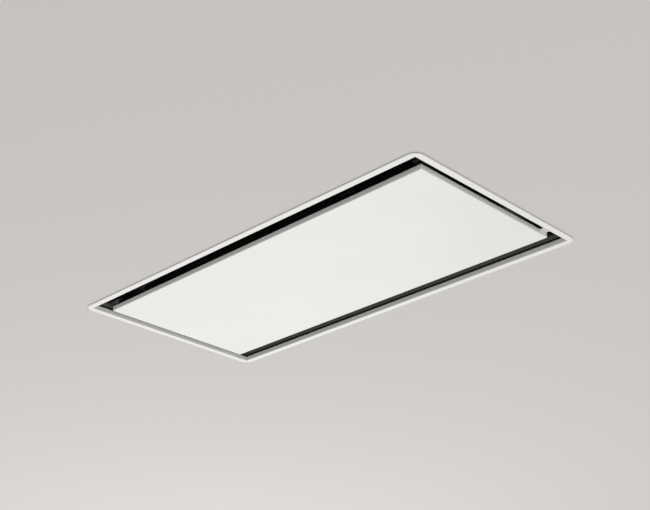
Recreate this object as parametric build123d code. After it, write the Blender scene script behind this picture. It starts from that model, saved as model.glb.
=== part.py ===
from build123d import *
from math import cos, radians, tan, sin
import os

os.makedirs("parts", exist_ok=True)

# A ceiling range hood with perimeter suction: a white steel panel hangs in a slim rim, and the
# air goes up through the slots round it, through grease filters and a double-inlet fan, and out
# of a side collar. Millimetres. +X runs along the long side, +Y towards the panel's hinges and
# +Z up. The origin is the centre of the hood on the underside of the ceiling: the rim lies just
# below z = 0 and the casing stands above it, in the ceiling's cut-out.

# ---- Sheet metal and fits -------------------------------------------------------------------
SHEET_T = 1.0            # casing, chamber and boxes
BRACKET_T = 1.5          # brackets and rails
BEND_R = 1.5             # inside radius of a bend
FIT = 0.3                # pieces that slip into one another
RUN_FIT = 0.05           # radial play of a pin or a shaft that turns
MOVE_GAP = 0.5           # side play between a moving piece and a fixed one

# ---- Trim frame -----------------------------------------------------------------------------
HOOD_LENGTH = 1000.0
HOOD_WIDTH = 500.0
RIM_WIDTH = 14.0
RIM_T = 2.0
RIM_CORNER_R = 20.0
RIM_EDGE_R = 0.8
LIP_HEIGHT = 10.5        # turned-up lip round the opening, measured from the rim's room face
LIP_T = 1.2
SEAL_HEIGHT = 5.0        # foam strip between the lip and the chamber
SEAT_DEPTH = 0.5         # step in the rim's back that the casing stands in

# ---- Suction panel --------------------------------------------------------------------------
END_SLOT = 20.0          # open slot between the panel and the lip, at each short side
SIDE_SLOT = 40.0         # and along each long side
PANEL_HEIGHT = 10.7
PANEL_T = 1.0
PANEL_CORNER_R = 2.0
PANEL_EDGE_R = 1.5
PANEL_SIDE_RETURN = 12.0  # fold along the top of the long sides
PANEL_END_RETURN = 30.0   # and of the short sides, which carry the hinges and strikes
STIFFENER_SPACING = 180.0
STIFFENER_WIDTH = 24.0
STIFFENER_FOOT = 14.0

# ---- Hinges ---------------------------------------------------------------------------------
HINGE_INSET = 13.0       # hinge axis from the panel's rear edge
HINGE_RISE = 7.3         # hinge axis above the panel's top
ARM_WIDTH = 20.0
ARM_T = 2.0
ARM_FOOT = 26.0          # foot of an arm on the panel
ARM_REACH = 10.0         # how far an arm stands out past the panel's end
PIN_R = 2.5
PIN_HEAD_R = 4.0
PIN_HEAD_T = 2.0
HINGE_BRACKET_RISE = 18.0  # bracket's web above the hinge axis

# ---- Magnetic catches -----------------------------------------------------------------------
CATCH_INSET = 29.0       # middle of a catch from the panel's front edge
CATCH_LENGTH = 40.0
CATCH_WIDTH = 18.0
CATCH_IN = 15.0          # middle of a catch from the panel's end
CATCH_HEIGHT = 13.8
CATCH_WALL = 2.0
STRIKE_T = 1.2
STRIKE_GAP = 0.3         # air between strike and magnet when the panel is shut
STRIKE_MARGIN = 1.5      # strike plate beyond the magnet
MAGNET_DEPTH = 9.0
CATCH_BRACKET_WIDTH = 50.0
CATCH_BRACKET_RISE = 34.0
CATCH_SLOT_WIDTH = 15.0
CATCH_SLOT_HEIGHT = 20.0

# ---- Casing, chamber and filter deck --------------------------------------------------------
CASING_HEIGHT = 112.0
DECK_Z = 70.0            # underside of the filter deck
DECK_EDGE = 10.0         # upturned edge of the deck
CHAMBER_FLANGE = 12.0
MOUTH_HALF = 165.0       # opening from the casing into the fan box
CASING_FLANGE = 14.0     # top fold of an end plate
BEAD_LENGTH = 200.0
BEAD_WIDTH = 16.0
BEAD_HEIGHT = 1.2
BEAD_OFFSET = 40.0       # middle of a bead from the control box

# ---- Grease filters -------------------------------------------------------------------------
FILTER_MARGIN = 46.5     # from the chamber's end walls to the filters
FILTER_WIDTH = 260.0
FILTER_T = 9.0
FILTER_GAP = 20.0        # between the two filters
FILTER_SHEET = 0.8
FILTER_LIP = 12.0
DECK_LAP = 10.0          # deck over a filter's edge
PLEAT_COUNT = 17
PLEAT_SHEET = 0.7
LEDGE_LAP = 8.0          # ledge under a filter's rear edge
LEDGE_FLANGE = 18.0
LATCH_WIDTH = 60.0
LATCH_DEPTH = 32.0
SLIDER_WIDTH = 24.0
SLIDER_LENGTH = 22.0
SLIDER_T = 3.8
SLIDER_FLOOR = 2.0       # latch housing under the slider
LATCH_THROW = 6.0
TONGUE = 6.0             # slider past the filter's front edge
KNOB_WIDTH = 16.0
KNOB_DEPTH = 5.0
KNOB_DROP = 3.0
KNOB_CORNER_R = 1.0
SPRING_ROOM = 14.0       # length of the latch spring at rest
SPRING_WIDTH = 16.0
SPRING_LEAF = 0.5
SPRING_FOLDS = 6
KEEPER_WIDTH = 40.0

# ---- Double-inlet fan -----------------------------------------------------------------------
FAN_X = -20.0            # fan axis, which runs along Y
IMPELLER_R = 66.5
IMPELLER_HALF = 60.0     # half the impeller's width
BLADE_COUNT = 36
BLADE_DEPTH = 12.5
BLADE_T = 1.0
BLADE_LEAN = 8.0         # how far round a blade's tip leads its heel, in degrees
BLADE_ARC_R = 12.0
BLADE_FLATS = 3          # each blade is folded from this many flats
RING_T = 2.5
RING_WIDTH = 6.0
DISC_T = 2.0
HUB_R = 12.0
HUB_FRONT = 14.0
HUB_REAR = 6.0
SHAFT_R = 4.0
SHAFT_PROUD = 2.0
SCROLL_GAP = 6.0         # impeller to scroll where they are nearest
SCROLL_GROWTH = 6.0      # the scroll's radius grows this much every quarter turn
SCROLL_T = 2.0
SCROLL_SIDE_GAP = 8.0
SCROLL_FLANGE = 5.0
SCROLL_FLANGE_T = 2.5
TONGUE_Z = 10.0          # scroll's cut-off edge above the axis
TONGUE_R = 3.0
OUTLET_REACH = 95.0
INLET_R = 52.0
INLET_FLARE = 9.0
INLET_DEPTH = 5.0        # inlet's throat inside the scroll
INLET_THROAT = 3.0       # straight part of the throat
FOOT_SPREAD = 60.0       # feet either side of the axis
FOOT_DROP = 73.0         # underside of the feet below the axis
FOOT_WIDTH = 20.0
FOOT_LENGTH = 30.0
FOOT_T = 3.0
BUFFER_HEIGHT = 4.0
BUFFER_R = 8.0
RAIL_HEIGHT = 9.0
RAIL_WIDTH = 24.0
RAIL_FOOT = 10.0

# ---- Fan motor ------------------------------------------------------------------------------
MOTOR_R = 42.0
MOTOR_FRONT = 8.0        # front of the motor from the impeller's disc
MOTOR_REAR = 80.0
SHIELD_DEPTH = 20.0
STATOR_PROUD = 1.0
SHIELD_EDGE = 5.0
BEARING_BOSS_R = 13.0
BEARING_BOSS = 3.0
SHAFT_SEAT = 18.0
SPIDER_T = 2.0
SPIDER_DISC_R = 30.0
SPIDER_ARM = 14.0
SPIDER_ANGLES = (40, 160, 280)
MOUNT_CIRCLE_R = 72.0
MOUNT_R = 6.0
LEAD_BUSH_R = 6.0
LEAD_BUSH_OFFSET = 20.0
LEAD_BUSH_LENGTH = 6.0

# ---- Fan box --------------------------------------------------------------------------------
BOX_HALF = 180.0
BOX_FLANGE = 15.0
BOX_HEADROOM = 1.5       # scroll to lid
LID_SKIRT = 8.0
LID_BEAD_LENGTH = 260.0
LID_BEAD_WIDTH = 18.0
LID_BEAD_HEIGHT = 2.0
FLANGE_SCREW_OFFSET = 120.0
SCREW_R = 2.0
STUD_REACH = 2.6         # buffer's stud above the scroll's foot

# ---- Duct collar and damper -----------------------------------------------------------------
COLLAR_R = 75.0          # outside radius, for a 150 mm duct
COLLAR_T = 1.2
COLLAR_LENGTH = 60.0
COLLAR_FLANGE = 9.0
COLLAR_BEAD_AT = 12.0    # stop bead from the collar's flange
COLLAR_BEAD = 1.6        # how far the stop bead stands out
ADAPTOR_T = 2.0
ADAPTOR_FOLDS = 6        # facets in the fan at each corner
DAMPER_AT = 26.0         # damper pin from the box's wall
DAMPER_PIN_R = 2.0
FLAP_T = 1.5
FLAP_CLEAR = 0.8
KNUCKLE_R = 4.0
KNUCKLE_COUNT = 5
KNUCKLE_GAP = 0.6

# ---- Control box and lead -------------------------------------------------------------------
CONTROL_GAP = 30.0       # between the fan box's flange and the control box
CONTROL_LENGTH = 170.0
CONTROL_WIDTH = 120.0
CONTROL_HEIGHT = 38.0
CONTROL_WALL = 2.2
CONTROL_CORNER_R = 6.0
CONTROL_LID_T = 2.4
CONTROL_LID_SKIRT = 6.0
RAIL_T = 3.0             # rails under the circuit board
BOARD_RISE = 6.0         # board above the floor of the box
BOARD_MARGIN = 6.0       # board from the inner end of the box
BOARD_T = 1.6
BOARD_LENGTH = 104.0
BOARD_WIDTH = 100.0
BOARD_CORNER_R = 2.0
RELAY_COUNT = 3
RELAY_LENGTH = 19.0
RELAY_WIDTH = 15.0
RELAY_HEIGHT = 15.0
RELAY_GAP = 5.0
TRANSFORMER_LENGTH = 34.0
TRANSFORMER_WIDTH = 30.0
TRANSFORMER_HEIGHT = 18.0
TERMINAL_POLES = 5
TERMINAL_PITCH = 10.0
TERMINAL_DEPTH = 18.0
TERMINAL_HEIGHT = 16.0
TERMINAL_HOLE_R = 2.0
CAPACITOR_R = 9.0
CAPACITOR_LENGTH = 52.0
GLAND_BORE_R = 4.5
GLAND_THREAD_R = 8.0
GLAND_HEX_R = 12.0
GLAND_NUT_R = 11.0
GLAND_NUT_LENGTH = 16.0
GLAND_NUT_T = 4.0
GLAND_Y = -30.0
LEAD_R = 3.5
LEAD_Y = 40.0
LEAD_RISE = 18.0         # lead above the casing's top
LEAD_RUN_IN = 46.0       # straight run inside the fan box
LEAD_CLIMB = 18.0        # how far along X it climbs beside the scroll
BEND_SHARE = 0.45        # part of a straight run that each of its end bends takes
LEAD_BOW = 42.0          # how far it bows out behind the motor
LEAD_DIP = 30.0          # start of the bow below the fan axis
GROMMET_LIP = 2.5
GROMMET_LIP_T = 1.5

# ---- Hanging brackets -----------------------------------------------------------------------
ROD_INSET_X = 60.0       # rods from the short sides of the rim
ROD_INSET_Y = 50.0       # and from its long sides
ROD_HOLE_R = 4.5
HANGER_WIDTH = 30.0
HANGER_FOOT = 22.0
HANGER_TAB = 30.0
HANGER_RISE = 16.0
HANGER_T = 2.5

# ---- Places that follow from the sizes above ------------------------------------------------
OPEN_X = HOOD_LENGTH / 2 - RIM_WIDTH
OPEN_Y = HOOD_WIDTH / 2 - RIM_WIDTH
LIP_X = OPEN_X + LIP_T
LIP_Y = OPEN_Y + LIP_T
LIP_TOP = LIP_HEIGHT - RIM_T
INSIDE_X = LIP_X + FIT                # inner faces of the casing
INSIDE_Y = LIP_Y + FIT
CASING_X = INSIDE_X + SHEET_T
CASING_Y = INSIDE_Y + SHEET_T
CHAMBER_X = INSIDE_X - SHEET_T        # inner faces of the chamber's wall
CHAMBER_Y = INSIDE_Y - SHEET_T
CHAMBER_FOOT = LIP_TOP + SEAL_HEIGHT

PANEL_TOP = PANEL_HEIGHT - RIM_T      # the panel is flush with the rim
PANEL_X = OPEN_X - END_SLOT
PANEL_Y = OPEN_Y - SIDE_SLOT
HINGE_Y = PANEL_Y - HINGE_INSET
HINGE_Z = PANEL_TOP + HINGE_RISE
ARM_END = PANEL_X + ARM_REACH
CATCH_X = PANEL_X - CATCH_IN
CATCH_Y = -PANEL_Y + CATCH_INSET
CATCH_FOOT = PANEL_TOP + STRIKE_T + STRIKE_GAP
CATCH_TOP = CATCH_FOOT + CATCH_HEIGHT

FILTER_LENGTH = CHAMBER_X - FILTER_MARGIN - FILTER_GAP / 2
FILTER_X = (FILTER_LENGTH + FILTER_GAP) / 2
FILTER_FOOT = DECK_Z - FILTER_T
SLIDER_FOOT = FILTER_FOOT + SLIDER_FLOOR + FIT
SLIDER_FRONT = -FILTER_WIDTH / 2 - TONGUE
SLIDER_REAR = SLIDER_FRONT + SLIDER_LENGTH
SPRING_END = SLIDER_REAR + SPRING_ROOM

SCROLL_R = IMPELLER_R + SCROLL_GAP + SCROLL_GROWTH / 2
SCROLL_TOP = SCROLL_R + 2.5 * SCROLL_GROWTH
SCROLL_HALF = IMPELLER_HALF + SCROLL_SIDE_GAP
SCROLL_SIDE = SCROLL_HALF + SCROLL_T
FAN_Z = CASING_HEIGHT + RAIL_HEIGHT + BUFFER_HEIGHT + FOOT_DROP
OUTLET_X = FAN_X + OUTLET_REACH
FOOT_Y = SCROLL_SIDE - FOOT_LENGTH / 2
BOX_TOP = FAN_Z + SCROLL_TOP + SCROLL_T + SCROLL_FLANGE + BOX_HEADROOM
DUCT_Z = (CASING_HEIGHT + BOX_TOP) / 2
DUCT_R = COLLAR_R - COLLAR_T
DAMPER_X = BOX_HALF + DAMPER_AT
FLANGE_MID = BOX_HALF + BOX_FLANGE / 2
CONTROL_X = -BOX_HALF - BOX_FLANGE - CONTROL_GAP - CONTROL_LENGTH / 2
CONTROL_TOP = CASING_HEIGHT + CONTROL_HEIGHT
LEAD_Z = CASING_HEIGHT + LEAD_RISE
LEAD_TURN_X = -BOX_HALF + LEAD_RUN_IN
ROD_X = HOOD_LENGTH / 2 - ROD_INSET_X
ROD_Y = HOOD_WIDTH / 2 - ROD_INSET_Y

FAN_AXIS = Plane((FAN_X, 0, FAN_Z), x_dir=(1, 0, 0), z_dir=(0, -1, 0))


# ---- Helpers --------------------------------------------------------------------------------
def rect(x0, x1, y0, y1):
    """A rectangle by its limits on the sketch plane."""
    return Pos((x0 + x1) / 2, (y0 + y1) / 2) * Rectangle(x1 - x0, y1 - y0)


def slab_x(sketch, x0, x1):
    """A sketch of the YZ plane, made solid from x0 to x1."""
    return extrude(Plane((x0, 0, 0), x_dir=(0, 1, 0), z_dir=(1, 0, 0)) * sketch, x1 - x0)


def slab_y(sketch, y0, y1):
    """A sketch of the XZ plane, made solid from y0 to y1."""
    return extrude(Plane((0, y1, 0), x_dir=(1, 0, 0), z_dir=(0, -1, 0)) * sketch, y1 - y0)


def slab_z(sketch, z0, z1):
    """A sketch of the XY plane, made solid from z0 to z1."""
    return extrude(Pos(0, 0, z0) * sketch, z1 - z0)


def strip(points, thickness, radius, side=Side.LEFT):
    """The section of a folded strip: one face runs through the points, the other on its left."""
    face_line = FilletPolyline(*points, radius=radius)
    return make_face(offset(face_line, amount=thickness, side=side))


def zigzag(points, dx, dy):
    """The face between a zigzag line and the same line moved over by the sheet's thickness."""
    moved = [(x + dx, y + dy) for x, y in reversed(points)]
    return make_face(Polyline(*points, *moved, close=True))


def mirrored_x(solid):
    """The same piece for the other end of the hood."""
    return mirror(solid, about=Plane.YZ)


def corners(x, y):
    """The four corners of a rectangle about the origin."""
    return [(sx * x, sy * y) for sx in (-1, 1) for sy in (-1, 1)]


# ---- Trim frame, seal, casing and chamber ---------------------------------------------------
def four_sides():
    """A trapezium over each side of the opening. They meet on the mitre lines of its corners."""
    out, back = RIM_CORNER_R, RIM_WIDTH
    x1, y1 = OPEN_X + out, OPEN_Y + out
    x0, y0 = OPEN_X - back, OPEN_Y - back
    front = make_face(Polyline((-x1, -y1), (x1, -y1), (x0, -y0), (-x0, -y0), close=True))
    right = make_face(Polyline((x1, -y1), (x1, y1), (x0, y0), (x0, -y0), close=True))
    return [front, right, Rot(0, 0, 180) * front, Rot(0, 0, 180) * right]


def trim_frame():
    """Four folded strips, mitred and welded at the corners."""
    opening = Rectangle(2 * OPEN_X, 2 * OPEN_Y)
    rim = slab_z(RectangleRounded(HOOD_LENGTH, HOOD_WIDTH, RIM_CORNER_R) - opening, -RIM_T, 0)
    lip_outside = Rectangle(2 * LIP_X, 2 * LIP_Y)
    seat = Rectangle(2 * (CASING_X + FIT), 2 * (CASING_Y + FIT)) - lip_outside
    frame = rim + slab_z(lip_outside - opening, -RIM_T, LIP_TOP) - slab_z(seat, -SEAT_DEPTH, 0)
    room_face = frame.faces().sort_by(Axis.Z)[0]
    frame = fillet(room_face.outer_wire().edges(), RIM_EDGE_R)
    room_face = frame.faces().sort_by(Axis.Z)[0]
    frame = fillet(room_face.inner_wires()[0].edges(), RIM_EDGE_R)
    return Compound([(frame & slab_z(side, -RIM_T, LIP_TOP)).solid() for side in four_sides()])


def frame_seal():
    ring = Rectangle(2 * INSIDE_X, 2 * INSIDE_Y) - Rectangle(2 * OPEN_X, 2 * OPEN_Y)
    return slab_z(ring, LIP_TOP, CHAMBER_FOOT)


def chamber_wall():
    """Four folded walls round the suction chamber, with a flange under the filter deck."""
    section = strip(
        [(INSIDE_Y, CHAMBER_FOOT), (INSIDE_Y, DECK_Z), (INSIDE_Y - CHAMBER_FLANGE, DECK_Z)],
        SHEET_T,
        SHEET_T,
    )
    rear = slab_x(section, -INSIDE_X, INSIDE_X)
    end_top = rect(INSIDE_X - CHAMBER_FLANGE, INSIDE_X, CHAMBER_FLANGE - INSIDE_Y, INSIDE_Y - CHAMBER_FLANGE)
    end = slab_z(end_top, DECK_Z - SHEET_T, DECK_Z)
    end += slab_z(rect(CHAMBER_X, INSIDE_X, -CHAMBER_Y, CHAMBER_Y), CHAMBER_FOOT, DECK_Z - SHEET_T)
    half_turn = Rot(0, 0, 180)
    return Compound([wall.solid() for wall in (rear, end, half_turn * rear, half_turn * end)])


def filter_deck():
    outside = Rectangle(2 * INSIDE_X, 2 * INSIDE_Y)
    inner = Rectangle(2 * (INSIDE_X - SHEET_T), 2 * (INSIDE_Y - SHEET_T))
    window = RectangleRounded(FILTER_LENGTH - 2 * DECK_LAP, FILTER_WIDTH - 2 * DECK_LAP, DECK_LAP)
    windows = [Pos(side * FILTER_X, 0) * window for side in (-1, 1)]
    deck = slab_z(outside - windows, DECK_Z, DECK_Z + SHEET_T)
    return deck + slab_z(outside - inner, DECK_Z, DECK_Z + DECK_EDGE)


def casing_wrap():
    section = strip(
        [(-CASING_Y, -SEAT_DEPTH), (-CASING_Y, CASING_HEIGHT), (CASING_Y, CASING_HEIGHT),
         (CASING_Y, -SEAT_DEPTH)],
        SHEET_T,
        BEND_R + SHEET_T,
        Side.RIGHT,
    )
    wrap = slab_x(section, -INSIDE_X, INSIDE_X)
    wrap -= slab_z(Rectangle(2 * MOUTH_HALF, 2 * MOUTH_HALF), CASING_HEIGHT - SHEET_T, CASING_HEIGHT)
    outline = SlotOverall(BEAD_LENGTH, BEAD_WIDTH)
    inner = Rectangle(BEAD_LENGTH - BEAD_WIDTH, BEAD_WIDTH - 2 * SHEET_T)
    for x, y in corners((BOX_HALF + BOX_FLANGE + INSIDE_X) / 2, CONTROL_WIDTH / 2 + BEAD_OFFSET):
        wrap += slab_z(Pos(x, y) * outline, CASING_HEIGHT, CASING_HEIGHT + BEAD_HEIGHT)
        underside = CASING_HEIGHT - SHEET_T
        wrap -= slab_z(Pos(x, y) * inner, underside, underside + BEAD_HEIGHT)
    for x, y in flange_screw_places():
        wrap -= slab_z(Pos(x, y) * Circle(SCREW_R), CASING_HEIGHT - SHEET_T, CASING_HEIGHT)
    return wrap


def casing_end():
    top = CASING_HEIGHT + SHEET_T
    section = strip(
        [(CASING_X, -SEAT_DEPTH), (CASING_X, top), (CASING_X - CASING_FLANGE, top)],
        SHEET_T,
        SHEET_T,
    )
    flanged = slab_y(section, -CASING_Y + 2 * BEND_R, CASING_Y - 2 * BEND_R)
    side = rect(-CASING_Y, CASING_Y, -SEAT_DEPTH, CASING_HEIGHT - BEND_R)
    plate = slab_x(side, INSIDE_X, CASING_X)
    return flanged + plate


# ---- Suction panel --------------------------------------------------------------------------
def suction_panel():
    length, width = 2 * PANEL_X, 2 * PANEL_Y
    outline = RectangleRounded(length, width, PANEL_CORNER_R)
    block = slab_z(outline, -RIM_T, PANEL_TOP)
    block = fillet(block.faces().sort_by(Axis.Z)[0].outer_wire().edges(), PANEL_EDGE_R)
    wall = 2 * PANEL_T
    inside = RectangleRounded(length - wall, width - wall, PANEL_CORNER_R - PANEL_T)
    mouth = Rectangle(length - 2 * PANEL_END_RETURN, width - 2 * PANEL_SIDE_RETURN)
    tray = block - slab_z(inside, PANEL_T - RIM_T, PANEL_TOP - PANEL_T)
    return tray - slab_z(mouth, PANEL_TOP - PANEL_T, PANEL_TOP)


def panel_stiffener(y):
    floor = PANEL_T - RIM_T
    crown = PANEL_TOP - PANEL_T - FIT
    half = STIFFENER_WIDTH / 2
    foot = half + STIFFENER_FOOT
    section = strip(
        [(y - foot, floor), (y - half, floor), (y - half, crown - PANEL_T),
         (y + half, crown - PANEL_T), (y + half, floor), (y + foot, floor)],
        PANEL_T,
        PANEL_T,
    )
    reach = PANEL_X - PANEL_T - MOVE_GAP
    return slab_x(section, -reach, reach)


def hinge_arm():
    foot_x = PANEL_X - ARM_FOOT
    section = strip(
        [(foot_x, PANEL_TOP), (ARM_END, PANEL_TOP), (ARM_END, HINGE_Z)],
        ARM_T,
        ARM_T + MOVE_GAP,
    )
    half = ARM_WIDTH / 2
    arm = slab_y(section, HINGE_Y - half, HINGE_Y + half)
    ear = Pos(HINGE_Y, HINGE_Z) * Circle(half)
    arm += slab_x(ear, ARM_END - ARM_T, ARM_END)
    pin_hole = Pos(HINGE_Y, HINGE_Z) * Circle(PIN_R + RUN_FIT)
    return arm - slab_x(pin_hole, ARM_END - ARM_T, ARM_END)


def hinge_bracket():
    ear_x = ARM_END + MOVE_GAP
    web = HINGE_Z + HINGE_BRACKET_RISE
    section = strip(
        [(CHAMBER_X, CHAMBER_FOOT + MOVE_GAP), (CHAMBER_X, web), (ear_x, web), (ear_x, HINGE_Z)],
        BRACKET_T,
        BRACKET_T + MOVE_GAP,
    )
    half = ARM_WIDTH / 2
    bracket = slab_y(section, HINGE_Y - half, HINGE_Y + half)
    bracket += slab_x(Pos(HINGE_Y, HINGE_Z) * Circle(half), ear_x, ear_x + BRACKET_T)
    return bracket - slab_x(Pos(HINGE_Y, HINGE_Z) * Circle(PIN_R), ear_x, ear_x + BRACKET_T)


def hinge_pin():
    shoulder = ARM_END - ARM_T - MOVE_GAP / 2
    axis = Pos(HINGE_Y, HINGE_Z)
    head = slab_x(axis * Circle(PIN_HEAD_R), shoulder - PIN_HEAD_T, shoulder)
    head = chamfer(head.faces().sort_by(Axis.X)[0].edges(), PIN_HEAD_T / 3)
    return head + slab_x(axis * Circle(PIN_R), shoulder, ARM_END + MOVE_GAP + 2 * BRACKET_T)


def strike_plate():
    length = CATCH_LENGTH + 2 * STRIKE_MARGIN
    width = CATCH_WIDTH + 2 * STRIKE_MARGIN
    outline = Pos(CATCH_X, CATCH_Y) * RectangleRounded(width, length, 2 * STRIKE_MARGIN)
    return slab_z(outline, PANEL_TOP, PANEL_TOP + STRIKE_T)


def catch_pocket():
    width = CATCH_WIDTH - 2 * CATCH_WALL
    return Pos(CATCH_X, CATCH_Y) * Rectangle(width, CATCH_LENGTH - 2 * CATCH_WALL)


def catch_housing():
    outline = Pos(CATCH_X, CATCH_Y) * RectangleRounded(CATCH_WIDTH, CATCH_LENGTH, CATCH_WALL)
    block = slab_z(outline, CATCH_FOOT, CATCH_TOP)
    return block - slab_z(catch_pocket(), CATCH_FOOT, CATCH_FOOT + MAGNET_DEPTH)


def catch_magnet():
    groove_x = (CATCH_WIDTH - 2 * CATCH_WALL) / 6
    groove = Pos(CATCH_X, CATCH_Y) * Rectangle(2 * groove_x, CATCH_LENGTH)
    magnet = slab_z(catch_pocket(), CATCH_FOOT, CATCH_FOOT + MAGNET_DEPTH)
    return magnet - slab_z(groove, CATCH_FOOT, CATCH_FOOT + STRIKE_T)


def catch_bracket():
    arm_end = CATCH_X - CATCH_WIDTH / 2
    rise = CATCH_TOP + CATCH_BRACKET_RISE
    section = strip(
        [(arm_end, CATCH_TOP), (CHAMBER_X, CATCH_TOP), (CHAMBER_X, rise)],
        BRACKET_T,
        BRACKET_T + BEND_R,
    )
    half = CATCH_BRACKET_WIDTH / 2
    bracket = slab_y(section, CATCH_Y - half, CATCH_Y + half)
    slot_z = (CATCH_TOP + rise) / 2
    slot = Pos(CATCH_Y, slot_z) * RectangleRounded(CATCH_SLOT_WIDTH, CATCH_SLOT_HEIGHT, BRACKET_T)
    return bracket - slab_x(slot, CHAMBER_X - BRACKET_T, CHAMBER_X)


# ---- Grease filters, their latches, ledge and keepers ---------------------------------------
def latch_cavity(x, front, rear, top):
    half = SLIDER_WIDTH / 2 + FIT
    return slab_z(rect(x - half, x + half, front, rear), FILTER_FOOT + SLIDER_FLOOR, top)


def filter_frame(x):
    half_l = FILTER_LENGTH / 2
    half_w = FILTER_WIDTH / 2
    shell = 2 * FILTER_SHEET
    outside = Pos(x, 0) * RectangleRounded(FILTER_LENGTH, FILTER_WIDTH, 2 * FILTER_SHEET)
    inside = Pos(x, 0) * Rectangle(FILTER_LENGTH - shell, FILTER_WIDTH - shell)
    window = Pos(x, 0) * Rectangle(2 * (half_l - FILTER_LIP), 2 * (half_w - FILTER_LIP))
    frame = slab_z(outside - window, FILTER_FOOT, DECK_Z)
    frame -= slab_z(inside, FILTER_FOOT + FILTER_SHEET, DECK_Z - FILTER_SHEET)
    half = LATCH_WIDTH / 2
    latch_room = rect(x - half, x + half, -half_w + FILTER_SHEET, -half_w + FILTER_LIP)
    frame -= slab_z(latch_room, FILTER_FOOT, FILTER_FOOT + FILTER_SHEET)
    top = SLIDER_FOOT + SLIDER_T + FIT
    return frame - latch_cavity(x, -half_w, -half_w + FILTER_SHEET, top)


def filter_core(x):
    """A pleated sheet that fills the frame, with room for the latch."""
    low = FILTER_FOOT + FILTER_SHEET
    high = DECK_Z - FILTER_SHEET - PLEAT_SHEET
    half_w = FILTER_WIDTH / 2 - FILTER_SHEET - FIT
    pitch = half_w / PLEAT_COUNT
    underside = [(-half_w + i * pitch, high if i % 2 else low) for i in range(2 * PLEAT_COUNT + 1)]
    half_l = FILTER_LENGTH / 2 - FILTER_SHEET - FIT
    core = slab_x(zigzag(underside, 0, PLEAT_SHEET), x - half_l, x + half_l)
    half = LATCH_WIDTH / 2 + FIT
    rear = -FILTER_WIDTH / 2 + FILTER_SHEET + LATCH_DEPTH + FIT
    return core - slab_z(rect(x - half, x + half, -FILTER_WIDTH, rear), FILTER_FOOT, DECK_Z)


def latch_housing(x):
    front = -FILTER_WIDTH / 2 + FILTER_SHEET
    half = LATCH_WIDTH / 2
    body = slab_z(rect(x - half, x + half, front, front + LATCH_DEPTH), FILTER_FOOT, DECK_Z - FILTER_SHEET)
    body -= latch_cavity(x, front, SPRING_END, SLIDER_FOOT + SLIDER_T + FIT)
    knob_front = knob_y() - KNOB_DEPTH / 2 - MOVE_GAP
    knob_rear = knob_y() + KNOB_DEPTH / 2 + LATCH_THROW + MOVE_GAP
    finger = rect(x - KNOB_WIDTH / 2 - MOVE_GAP, x + KNOB_WIDTH / 2 + MOVE_GAP, knob_front, knob_rear)
    return body - slab_z(finger, FILTER_FOOT, FILTER_FOOT + SLIDER_FLOOR)


def knob_y():
    return SLIDER_REAR - KNOB_DEPTH


def latch_slider(x):
    half = SLIDER_WIDTH / 2
    plate = rect(x - half, x + half, SLIDER_FRONT, SLIDER_REAR)
    slider = slab_z(plate, SLIDER_FOOT, SLIDER_FOOT + SLIDER_T)
    nose = slider.edges().filter_by(Axis.X).group_by(Axis.Y)[0].sort_by(Axis.Z)[0]
    slider = chamfer(nose, SLIDER_T / 3)
    knob = Pos(x, knob_y()) * RectangleRounded(KNOB_WIDTH, KNOB_DEPTH, KNOB_CORNER_R)
    return slider + slab_z(knob, FILTER_FOOT - KNOB_DROP, SLIDER_FOOT)


def latch_spring(x):
    """A folded leaf between the slider and the end of its channel."""
    pitch = SPRING_ROOM / SPRING_FOLDS
    across = SPRING_LEAF * SPRING_WIDTH / pitch
    sides = (x - SPRING_WIDTH / 2, x + SPRING_WIDTH / 2 - across)
    fold_line = [(sides[i % 2], SLIDER_REAR + i * pitch) for i in range(SPRING_FOLDS + 1)]
    return slab_z(zigzag(fold_line, across, 0), SLIDER_FOOT, SLIDER_FOOT + SLIDER_T)


def rear_ledge():
    web = FILTER_WIDTH / 2 + FIT + SHEET_T
    lap_end = FILTER_WIDTH / 2 - LEDGE_LAP
    section = strip(
        [(web + LEDGE_FLANGE, DECK_Z), (web, DECK_Z), (web, FILTER_FOOT), (lap_end, FILTER_FOOT)],
        SHEET_T,
        SHEET_T,
    )
    reach = FILTER_X + FILTER_LENGTH / 2
    return slab_x(section, -reach, reach)


def latch_keeper(x):
    web = SLIDER_FRONT - FIT
    lip_top = SLIDER_FOOT - MOVE_GAP
    lip_end = -FILTER_WIDTH / 2 - SHEET_T
    section = strip(
        [(web - LEDGE_FLANGE, DECK_Z), (web, DECK_Z), (web, lip_top), (lip_end, lip_top)],
        SHEET_T,
        SHEET_T,
        Side.RIGHT,
    )
    return slab_x(section, x - KEEPER_WIDTH / 2, x + KEEPER_WIDTH / 2)


# ---- Fan: scroll, impeller, motor and their mountings ---------------------------------------
def volute(grow=0.0):
    """The scroll's outline about the fan axis: three quarter turns, each from its own centre."""
    s = SCROLL_GROWTH / 2
    r = SCROLL_R + grow
    right = (r - s, -s)
    bottom = (-s, -s - r)
    left = (-s - r - 2 * s, s)
    top = (s, s + r + 4 * s)
    cut_off = TONGUE_Z - grow
    outline = Line(right, (right[0], cut_off))
    outline += Line((right[0], cut_off), (OUTLET_REACH, cut_off))
    outline += Line((OUTLET_REACH, cut_off), (OUTLET_REACH, top[1]))
    outline += Line((OUTLET_REACH, top[1]), top)
    outline += CenterArc((s, s), r + 4 * s, 90, 90)
    outline += CenterArc((-s, s), r + 2 * s, 180, 90)
    outline += CenterArc((-s, -s), r, 270, 90)
    return make_face(outline)


def scroll_slab(sketch, y0, y1):
    return slab_y(Pos(FAN_X, FAN_Z) * sketch, y0, y1)


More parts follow.
